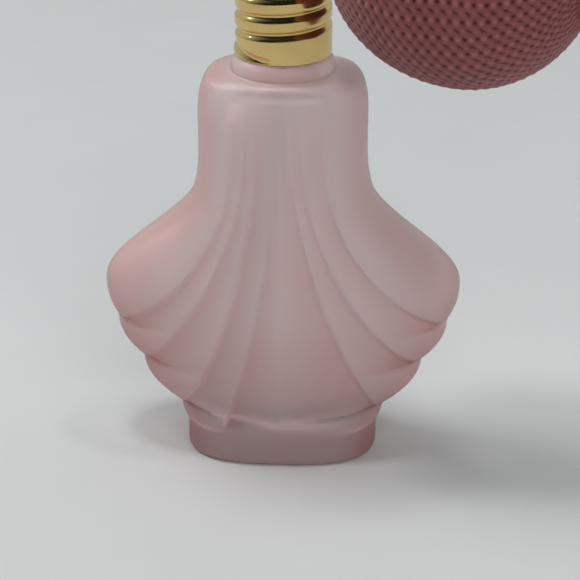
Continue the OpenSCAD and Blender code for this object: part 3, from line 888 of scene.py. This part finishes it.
@dataclass
class SprayHead:
    """The turned head, its domed cap, the nozzle and the small parts inside them, in millimetres."""

    spindle_r: float = 5.2
    barrel_r: float = 7.6
    foot_z: float = 89.2
    top_z: float = 99.8
    plug_top_z: float = 88.25
    boss_r: float = 3.7
    boss_x: float = 8.0
    nozzle_x: float = -9.0
    bore_r: float = 2.2

    def _barrel(self) -> None:
        """Makes the barrel with its foot, cove and bead, and a boss on each side."""
        b, z0, z1 = self.barrel_r, self.foot_z, self.top_z
        barrel = in_mm(
            (2.6, self.plug_top_z), (self.spindle_r, self.plug_top_z), (self.spindle_r, z0), (b + 0.5, z0),
            (b + 0.5, z0 + 0.7), (b + 0.15, z0 + 0.95), (b - 0.15, z0 + 1.3), (b - 0.05, z0 + 1.7),
            (b, z0 + 2.0), (b, z1 - 1.7), (b - 0.2, z1 - 1.55), (b - 0.2, z1 - 1.3), (b, z1 - 1.15),
            (b, z1 - 0.25), (b - 0.2, z1), (4.6, z1), (4.6, z0 + 1), (2.6, z0 + 1),
        )
        turned("head_barrel", barrel, UPRIGHT, Finish.GOLD, "head", ["head_body"], 0.12 * MM, 160)
        bosses = ("stem_boss", self.boss_x, self.boss_r), ("nozzle_boss", self.nozzle_x, self.boss_r - 0.2)
        for name, end, r in bosses:
            way = math.copysign(1.0, end)
            reach = abs(end)
            boss = in_mm(
                (self.bore_r, way * 5.6), (r + 0.1, way * 5.6), (r + 0.1, way * (reach - 1.6)),
                (r - 0.25, way * (reach - 1.4)), (r - 0.25, way * (reach - 1.1)), (r, way * (reach - 0.9)),
                (r, way * (reach - 0.2)), (r - 0.2, way * reach), (self.bore_r, way * reach),
            )
            turned(name, boss, BULB_LINE, Finish.GOLD, "head", (), 0.1 * MM, 96)

    def _dome(self) -> None:
        """Makes the domed cap with a bead at its foot."""
        z, b = self.top_z, self.barrel_r
        arc = [
            (b * math.cos(a), z + 0.55 + 3.6 * math.sin(a)) for a in np.linspace(0.0, math.pi / 2, 22)[1:-1]
        ]
        dome = in_mm(
            (0, z - 1.8), (4.55, z - 1.8), (4.55, z), (b - 0.3, z), (b, z + 0.15), (b, z + 0.4),
            (b - 0.25, z + 0.55), *arc, (0, z + 4.15),
        )
        turned("dome_cap", dome, UPRIGHT, Finish.GOLD, "head", ["head_dome"], 0.08 * MM, 160)

    def _nozzle(self) -> None:
        """Makes the nozzle sleeve with two turned rings and the orifice cap with a fine grip."""
        n = self.nozzle_x
        sleeve = in_mm(
            (1.25, -15), (1.9, -15), (1.9, -13.7), (2.35, -13.4), (2.6, -12.4), (2.45, -12.2),
            (2.45, -11.9), (2.7, -11.7), (2.95, n - 1.0), (3.0, n - 0.6), (3.0, n), (self.bore_r, n),
            (self.bore_r, -5.2), (1.25, -5.2),
        )
        turned("nozzle_tube", sleeve, BULB_LINE, Finish.GOLD, "head", ["nozzle_sleeve"], 0.1 * MM, 96)
        cap = in_mm(
            (0.25, -15.9), (0.7, -16.1), (1.2, -16.2), (2.1, -16.2), (2.6, -15.8), (2.6, -13.75),
            (2.5, -13.65), (1.95, -13.65), (1.95, -15.05), (0.25, -15.05),
        )

        def grip(radius: np.ndarray, angle: np.ndarray, station: np.ndarray) -> np.ndarray:
            """Returns the radius with 24 fine flutes on the outside."""
            flute = 0.06 * MM * (1 + np.cos(angle * 24)) * smooth((radius - 2.3 * MM) / (0.2 * MM))
            return radius - flute

        turned("nozzle_tip", cap, BULB_LINE, Finish.GOLD, "head", ["orifice_cap"], 0.08 * MM, 192, grip)

    def build(self) -> None:
        """Makes the head and dresses the parts inside it."""
        self._barrel()
        self._dome()
        self._nozzle()
        dress(Finish.GOLD, "air_stem")
        dress(Finish.SEAL_RUBBER, "stem_seal", "neck_washer")
        dress(Finish.STEEL, "liquid_jet", "outlet_seat", "outlet_ball")
        dress(Finish.WHITE_PLASTIC, "stem_plug")


@dataclass
class DipTube:
    """The bowed plastic tube that draws the liquid, in millimetres."""

    outer_r: float = 1.5
    bore_r: float = 0.95
    foot_z: float = 10.5
    top_z: float = 85.2
    bow: float = 11.5
    bow_top_z: float = 80.3
    rows: int = 72
    columns: int = 40

    def build(self) -> bpy.types.Object:
        """Makes the tube with its wall, its foot cut on a slant."""
        z = np.linspace(self.foot_z, self.top_z, self.rows)
        bow = -self.bow * np.clip((self.bow_top_z - z) / (self.bow_top_z - self.foot_z), 0, 1) ** 1.8
        angle = round_angles(self.columns)
        walls = []
        for r, order in ((self.outer_r, slice(None)), (self.bore_r, slice(None, None, -1))):
            height = z[order][:, None] + 0.9 * (np.cos(angle) + 1) * (z[order][:, None] < self.foot_z + 0.01)
            walls.append(np.stack(np.broadcast_arrays(
                bow[order][:, None] + r * np.cos(angle), r * np.sin(angle), height
            ), -1))
        grid = np.concatenate(walls) * MM
        return skin("dip_tube_wall", grid, Finish.TUBE_PLASTIC, "stopper", ["dip_tube"], loop_rows=True)


# --- Squeeze bulb ---


@dataclass
class SqueezeBulb:
    """The rubber bulb, its net, the threads that bind it, its ferrule and end fitting, in millimetres."""

    reach: float = 34.4
    net_r: float = 21.4
    near_len: float = 24.7
    rubber_r: float = 20.6
    neck_x: float = 9.1
    end_x: float = 58.2
    ferrule_x: float = 8.5
    neck_r: float = 4.75
    end_r: float = 5.35
    row_count: int = 41
    stitch: float = 2.06
    points_per_row: int = 12
    points_per_stitch: int = 6
    cup_r: float = 6.1
    cup_inner_r: float = 5.4
    hole_count: int = 6
    hole_r: float = 0.45
    hole_ring_r: float = 2.2
    rubber_wall: float = 1.5
    rubber_neck: tuple[float, float] = (2.3, 4.0)
    rubber_end: tuple[float, float] = (3.2, 4.6)
    thread_turns: int = 2
    thread_r: float = 0.14
    thread_pitch: float = 0.26

    def _egg(
        self, r: float, near_len: float, near_r: float, far_r: float, count: int
    ) -> list[tuple[float, float]]:
        """Returns (radius, station) along an egg that is drawn out towards the head.

        Args:
            r: Its largest radius.
            near_len: The length of its half on the head's side.
            near_r: The radius where it meets the tube at the head's side.
            far_r: The radius where it meets the tube at the far side.
            count: How many points.
        """
        ends = math.asin(near_r / r), math.pi - math.asin(far_r / r)
        return [
            (r * math.sin(t), self.reach - (near_len if t < math.pi / 2 else r) * math.cos(t))
            for t in np.linspace(*ends, count)
        ]

    def _net_line(self, count: int) -> tuple[np.ndarray, np.ndarray, np.ndarray]:
        """Returns (radius, station, length so far) along the net from the head to the far end."""
        line = [(self.neck_r - 0.1, self.neck_x + 0.1), (self.neck_r, self.neck_x + 0.6)]
        line += self._egg(self.net_r, self.near_len, self.neck_r, self.end_r, 400)
        line += [(self.end_r, self.end_x - 1.4), (self.end_r - 0.1, self.end_x - 0.35)]
        points = np.array(line)
        length = np.concatenate([[0.0], np.cumsum(np.hypot(*np.diff(points, axis=0).T))])
        even = np.linspace(0.0, length[-1], count)
        return np.interp(even, length, points[:, 0]), np.interp(even, length, points[:, 1]), even

    def _stitches(self, along: np.ndarray, around: np.ndarray) -> np.ndarray:
        """Returns the net's height pattern, from about -1 in a hole to 1 on a loop.

        Args:
            along: Stitches counted along a row.
            around: Rows counted round the bulb.
        """
        def off(value: np.ndarray, shift: float) -> np.ndarray:
            """Returns the distance to the nearest whole number after a shift."""
            return (value - shift + 0.5) % 1.0 - 0.5

        hole = np.exp(-((off(along, 0.0) / 0.2) ** 2) - (off(around, 0.0) / 0.13) ** 2)
        loop = np.exp(-((off(along, 0.5) / 0.22) ** 2) - (off(around, 0.0) / 0.16) ** 2)
        da, dr = off(along, 0.5), off(around, 0.5)
        slit = np.exp(-(((da * 0.5 - dr) / 0.1) ** 2) - ((da * 0.8 + dr) / 0.3) ** 2)
        legs = np.exp(-((off(along, 0.0) / 0.22) ** 2) - (off(around, 0.5) / 0.16) ** 2)
        return 0.85 * loop + 0.35 * legs - 1.0 * hole - 0.8 * slit

    def _net(self) -> bpy.types.Object:
        """Makes the knitted net with every stitch in relief, gathered at both ends."""
        total = self._net_line(2)[2][-1]
        stitches = round(total / self.stitch)
        rows = stitches * self.points_per_stitch + 1
        columns = self.row_count * self.points_per_row
        radius, station, length = (v[:, None] for v in self._net_line(rows))
        angle = round_angles(columns)
        along = length / total * stitches
        around = angle / math.tau * self.row_count
        wander = 0.1 * np.sin(3 * angle + 0.35 * along) + 0.06 * np.sin(5 * angle - 0.5 * along)
        height = self._stitches(along + wander, around + 0.08 * np.sin(0.9 * along + 2 * angle))
        fade = smooth((radius - 6.5) / 5.0)
        gather = 0.12 * np.cos(angle * self.row_count) * (1 - smooth((radius - 6.0) / 7.0))
        swell = 0.19 * height * (0.35 + 0.65 * fade) + gather
        slope_r = np.gradient(radius, axis=0)
        slope_x = np.gradient(station, axis=0)
        size = np.hypot(slope_r, slope_x)
        grid = BULB_LINE.points(
            (radius + swell * slope_x / size) * MM, angle, (station - swell * slope_r / size) * MM
        )
        tone = np.clip(0.5 + 0.5 * height, 0, 1)
        return skin("knitted_net", grid, Finish.YARN, "head", ["knitted_cover"], numbers={"stitch": tone})

    def _rubber(self) -> bpy.types.Object:
        """Makes the rubber bulb under the net, with a mould line round it."""
        wall, length = self.rubber_wall, self.near_len - 0.8
        (neck_bore, neck_r), (end_bore, end_r) = self.rubber_neck, self.rubber_end
        outside = self._egg(self.rubber_r, length, neck_r, end_r, 90)
        inside = self._egg(self.rubber_r - wall, length - wall, neck_bore, end_bore, 60)[::-1]
        profile = in_mm(
            (neck_bore, self.neck_x), (neck_r, self.neck_x), *outside,
            (end_r, self.end_x), (end_bore, self.end_x), *inside,
        )

        def seam(radius: np.ndarray, angle: np.ndarray, station: np.ndarray) -> np.ndarray:
            """Returns the radius with a fine mould line along two sides."""
            line = np.exp(-((np.sin(angle) / 0.02) ** 2)) * smooth((radius - 6 * MM) / (4 * MM))
            return radius + 0.08 * MM * line

        finish = Finish.BULB_RUBBER
        return turned("rubber_ball", profile, BULB_LINE, finish, "head", ["rubber_bulb"], 0.0, 144, seam)

    def _binding(self, name: str, start: float, radius: float, body: str, node: str) -> bpy.types.Object:
        """Makes a few turns of two-strand thread.

        Args:
            name: The piece's name.
            start: Its first station along the bulb's line.
            radius: The radius that it is wound on.
            body: The body that it rides on.
            node: The CAD node that it stands for.
        """
        turns, thread_r = self.thread_turns, self.thread_r
        steps = 110 * turns
        t = np.linspace(0.0, turns, steps)[:, None]
        around = round_angles(16)
        lobe = thread_r * (0.86 + 0.14 * np.cos(2 * (around - t * math.tau * 14)))
        ends = smooth(t / 0.02) * smooth((turns - t) / 0.02)
        r = radius + thread_r + lobe * np.cos(around) * ends
        x = start + thread_r + t * self.thread_pitch + lobe * np.sin(around) * ends
        grid = BULB_LINE.points(r * MM, t * math.tau, x * MM)
        return skin(name, grid, Finish.TWINE, body, [node])

    def _ferrule(self) -> bpy.types.Object:
        """Makes the spun cup that grips the bulb's neck, with a rolled rim."""
        x, inner, pole = self.ferrule_x, self.cup_inner_r, self.reach - self.near_len - 0.2
        cup = in_mm(
            (2.2, x), (inner - 0.6, x), (inner, x + 0.12), (inner + 0.3, x + 0.45), (inner + 0.4, x + 0.9),
            (inner + 0.55, pole + 0.2), (6.3, pole + 0.55), (7.0, pole + 0.72), (7.2, pole + 0.85),
            (7.15, pole + 1.02), (6.95, pole + 1.05), (6.1, pole + 0.8), (inner + 0.1, pole + 0.55),
            (inner, pole + 0.2), (inner, x + 0.5), (2.2, x + 0.5),
        )
        return turned("bulb_cup", cup, BULB_LINE, Finish.GOLD, "head", ["bulb_ferrule"], 0.12 * MM, 160)

    def _end_cap(self) -> bpy.types.Object:
        """Makes the pierced end cap: a fluted skirt and a low dome with a ring of air holes."""
        c, x = self.cup_r + 0.5, self.end_x + 0.6
        arc = [(c * math.cos(a), x + 0.5 + 2.0 * math.sin(a)) for a in np.linspace(0.1, math.pi / 2, 40)[:-1]]
        cap = in_mm(
            (c - 0.9, x - 2.7), (c - 0.1, x - 2.7), (c, x - 2.6), (c, x - 2.45), (c - 0.2, x - 2.3),
            (c - 0.2, x - 0.2), (c, x), (c, x + 0.4), *arc, (0, x + 2.5), (0, x + 1.6), (3.4, x + 1.2),
            (3.4, x), (c - 0.5, x), (c - 0.5, x - 0.6), (c - 0.55, x - 2.4),
        )

        def fluted(radius: np.ndarray, angle: np.ndarray, station: np.ndarray) -> np.ndarray:
            """Returns the radius with fine flutes round the skirt."""
            outside = smooth((radius - (c - 0.35) * MM) / (0.1 * MM))
            band = outside * smooth(((x - 0.3) * MM - station) / (0.2 * MM))
            return radius - 0.07 * MM * (1 + np.cos(angle * 36)) * band

        nodes = ["end_cap"]
        piece = turned("bulb_end_cap", cap, BULB_LINE, Finish.GOLD, "bulb_end", nodes, 0.08 * MM, 288, fluted)
        self._pierce(piece, x)
        return piece

    def _pierce(self, piece: bpy.types.Object, face_x: float) -> None:
        """Cuts the ring of air holes through the end cap's dome."""
        cutter = bmesh.new()
        for k in range(self.hole_count):
            a = math.tau * k / self.hole_count
            where = BULB_LINE.points(self.hole_ring_r * MM, a, (face_x + 1.5) * MM)
            turn = Vector((0, 0, 1)).rotation_difference(BULB_LINE.along).to_matrix().to_4x4()
            turn.translation = Vector(where)
            r = self.hole_r * MM
            bmesh.ops.create_cone(
                cutter, cap_ends=True, segments=24, radius1=r, radius2=r, depth=4 * MM, matrix=turn
            )
        mesh = bpy.data.meshes.new("air_holes")
        cutter.to_mesh(mesh)
        cutter.free()
        tool = placed("air_holes", mesh)
        cut = piece.modifiers.new("pierce", "BOOLEAN")
        cut.operation = "DIFFERENCE"
        cut.solver = "EXACT"
        cut.object = tool
        bpy.context.view_layer.update()
        done = bpy.data.meshes.new_from_object(piece.evaluated_get(bpy.context.evaluated_depsgraph_get()))
        piece.modifiers.clear()
        piece.data = done
        bpy.data.objects.remove(tool)

    def build(self) -> None:
        """Makes the bulb and everything on it, and gives the net and the rubber meshes of their own."""
        net, rubber = self._net(), self._rubber()
        self._binding("neck_thread", self.neck_x + 0.1, self.neck_r, "head", "neck_binding")
        self._binding("end_thread", self.end_x - 1.5, self.end_r, "bulb_end", "end_binding")
        self._ferrule()
        self._end_cap()
        dress(Finish.GOLD, "intake_body")
        dress(Finish.SEAL_RUBBER, "intake_disc")
        dress(Finish.STEEL, "intake_retainer")
        joint = squeeze_joint()
        keep = 1 - joint["range_m"][1] / ((self.end_x - self.neck_x) * MM)
        for piece in (net, rubber):
            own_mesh(piece)


# --- Studio ---


@dataclass(frozen=True)
class SoftLight:
    """A square soft light.

    Args:
        name: Its name.
        place: Where it hangs.
        size: Its side.
        watts: Its power.
        mirrored: False keeps it out of what the metal reflects, as a diffused wall would be.
    """

    name: str
    place: Triple
    size: float
    watts: float
    mirrored: bool = True

    def build(self, target: Triple) -> None:
        """Hangs the light and turns it to the target."""
        data = bpy.data.lights.new(self.name, "AREA")
        data.size = self.size
        data.energy = self.watts
        light = placed(self.name, data)
        light.location = self.place
        light.visible_glossy = self.mirrored
        light.rotation_euler = (Vector(target) - Vector(self.place)).to_track_quat("-Z", "Y").to_euler()


@dataclass
class Studio:
    """A pale floor, soft lights and the camera."""

    distance: float = 0.45
    elevation: float = 23.5
    azimuth: float = 2.6
    roll: float = 0.2
    sensor_mm: float = 36.0
    lens_mm: float = 153.6207
    aim: Triple = (0.0013, 0.0, 0.02945)
    lit_point: Triple = (0.0, 0.0, 0.04)
    floor_half: float = 1.6
    lights: tuple[SoftLight, ...] = (
        SoftLight("window", (-0.7, 0.25, 0.75), 0.4, 3.7),
        SoftLight("fill", (0.25, -0.9, 0.7), 0.7, 5.4, mirrored=False),
        SoftLight("ceiling", (-0.12, -0.12, 1.0), 0.14, 2.3),
        SoftLight("second", (0.25, -0.05, 1.0), 0.1, 1.0),
    )

    def _camera(self) -> None:
        """Makes the camera, which looks down at the front of the bottle."""
        data = bpy.data.cameras.new("camera")
        data.sensor_width = self.sensor_mm
        data.lens = self.lens_mm
        data.clip_start = 0.01
        camera = placed("camera", data)
        e, a = math.radians(self.elevation), math.radians(self.azimuth)
        back = Vector((math.sin(a) * math.cos(e), -math.cos(a) * math.cos(e), math.sin(e)))
        camera.location = Vector(self.aim) + back * self.distance
        turn = (-back).to_track_quat("-Z", "Y").to_euler()
        turn.rotate_axis("Z", math.radians(self.roll))
        camera.rotation_euler = turn
        bpy.context.scene.camera = camera

    def _floor(self) -> None:
        """Makes the pale floor."""
        s = Shader("floor_cloth")
        weave = s.noise(900.0, 2.0)
        material = s.finish({
            "Base Color": s.blend(s.noise(40.0, 3.0), (0.54, 0.545, 0.545), (0.58, 0.585, 0.585)),
            "Roughness": 0.7 + weave * 0.1,
            "Normal": s.bump(weave, 0.00005, 0.3),
        })
        mesh = bpy.data.meshes.new("floor")
        signs = ((-1, -1), (1, -1), (1, 1), (-1, 1))
        corners = [(x * self.floor_half, y * self.floor_half, 0) for x, y in signs]
        mesh.from_pydata(corners, [], [(0, 1, 2, 3)])
        mesh.materials.append(material)
        floor = placed("floor", mesh)

    def _room(self) -> None:
        """Makes the room's own light: pale all round, and dim in front of the object and overhead."""
        world = bpy.data.worlds.new("room")
        world.use_nodes = True
        tree = world.node_tree
        way = tree.nodes.new("ShaderNodeTexCoord")
        split = tree.nodes.new("ShaderNodeSeparateXYZ")
        ramp = tree.nodes.new("ShaderNodeMapRange")
        tree.links.new(way.outputs["Generated"], split.inputs[0])
        tree.links.new(split.outputs["Y"], ramp.inputs["Value"])
        for name, value in {"From Min": -0.55, "From Max": 0.35, "To Min": 0.02, "To Max": 0.62}.items():
            ramp.inputs[name].default_value = value
        background = tree.nodes["Background"]
        background.inputs["Color"].default_value = (0.86, 0.93, 0.93, 1.0)
        tree.links.new(ramp.outputs["Result"], background.inputs["Strength"])
        bpy.context.scene.world = world

    def build(self) -> None:
        """Makes the whole setting."""
        self._camera()
        self._floor()
        for light in self.lights:
            light.build(self.lit_point)
        self._room()
        bpy.context.scene.view_settings.view_transform = "Standard"


def main() -> None:
    """Builds every sub-assembly in order."""
    logging.basicConfig(level=logging.INFO, format="%(name)s: %(message)s")
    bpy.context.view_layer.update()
    Studio().build()
    GlassBottle().build()
    ScrewCollar().build()
    SprayHead().build()
    DipTube().build()
    SqueezeBulb().build()


if __name__ == "__main__":
    main()
